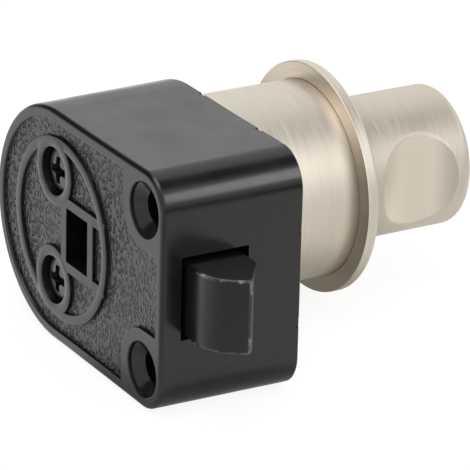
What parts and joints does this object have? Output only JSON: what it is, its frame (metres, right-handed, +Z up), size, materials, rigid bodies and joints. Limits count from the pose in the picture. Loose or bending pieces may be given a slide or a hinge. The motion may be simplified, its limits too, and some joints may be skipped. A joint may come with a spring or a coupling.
{
  "type": "pushbutton cabinet latch",
  "caption": "Push-to-lock cabinet latch with a round pull knob on a sleeve, a door rosette, a D-shaped case and a sprung ramp bolt.",
  "frame": {"origin": "middle between the two fixing holes, on the case face that lies against the door", "axes": "+Y into the cabinet along the knob's axis, -X the way the bolt leaves the case, +Z up"},
  "size_m": [0.0511, 0.0559, 0.0308],
  "materials": {
    "case_plastic": "satin moulded, grained back panels",
    "cover_plastic": "satin moulded",
    "bolt_plastic": "satin moulded",
    "plunger_plastic": "satin moulded",
    "nickel": "satin nickel, finely brushed round the axis",
    "steel": "bright zinc-plated",
    "tongue_steel": "dull stamped",
    "black_steel": "black-coated, satin",
    "nylon": "natural nylon",
    "rubber": "matt"
  },
  "bodies": {
    "housing": {"case_body": "case_plastic", "case_cover": "cover_plastic", "bolt_spring": "steel", "bolt_guide_pin": "steel", "sleeve": "nickel", "rosette": "nickel", "knob_spring": "steel", "spring_washer": "steel", "stop_ring": "rubber", "follower_leaf": "steel", "sleeve_screw_upper": "black_steel", "sleeve_screw_lower": "black_steel"},
    "knob": {"knob_cap": "nickel", "glide_ring": "nylon", "knob_plunger": "plunger_plastic", "knob_screw": "steel", "lock_tongue": "tongue_steel", "tongue_pin": "steel"},
    "bolt": {"latch_bolt": "bolt_plastic"},
    "follower": {"cam_follower": "steel"}
  },
  "joints": [
    {"name": "knob_slide", "type": "slide", "parent": "housing", "child": "knob", "axis": [0, 1, 0], "range_m": [0, 0.012], "stiffness_N_per_m": 350, "springref_m": -0.012, "deforming": ["knob_spring"]},
    {"name": "bolt_slide", "type": "slide", "parent": "housing", "child": "bolt", "axis": [1, 0, 0], "range_m": [0, 0.008], "stiffness_N_per_m": 250, "springref_m": -0.01, "deforming": ["bolt_spring"]},
    {"name": "follower_swing", "type": "hinge", "parent": "housing", "child": "follower", "pos_m": [0.0277, 0.0002, 0], "axis": [1, 0, 0], "range_deg": [0, 15]}
  ],
  "couplings": [
    {"joint": "follower_swing", "follows": "knob_slide", "rad_per_m": 21.304}
  ]
}
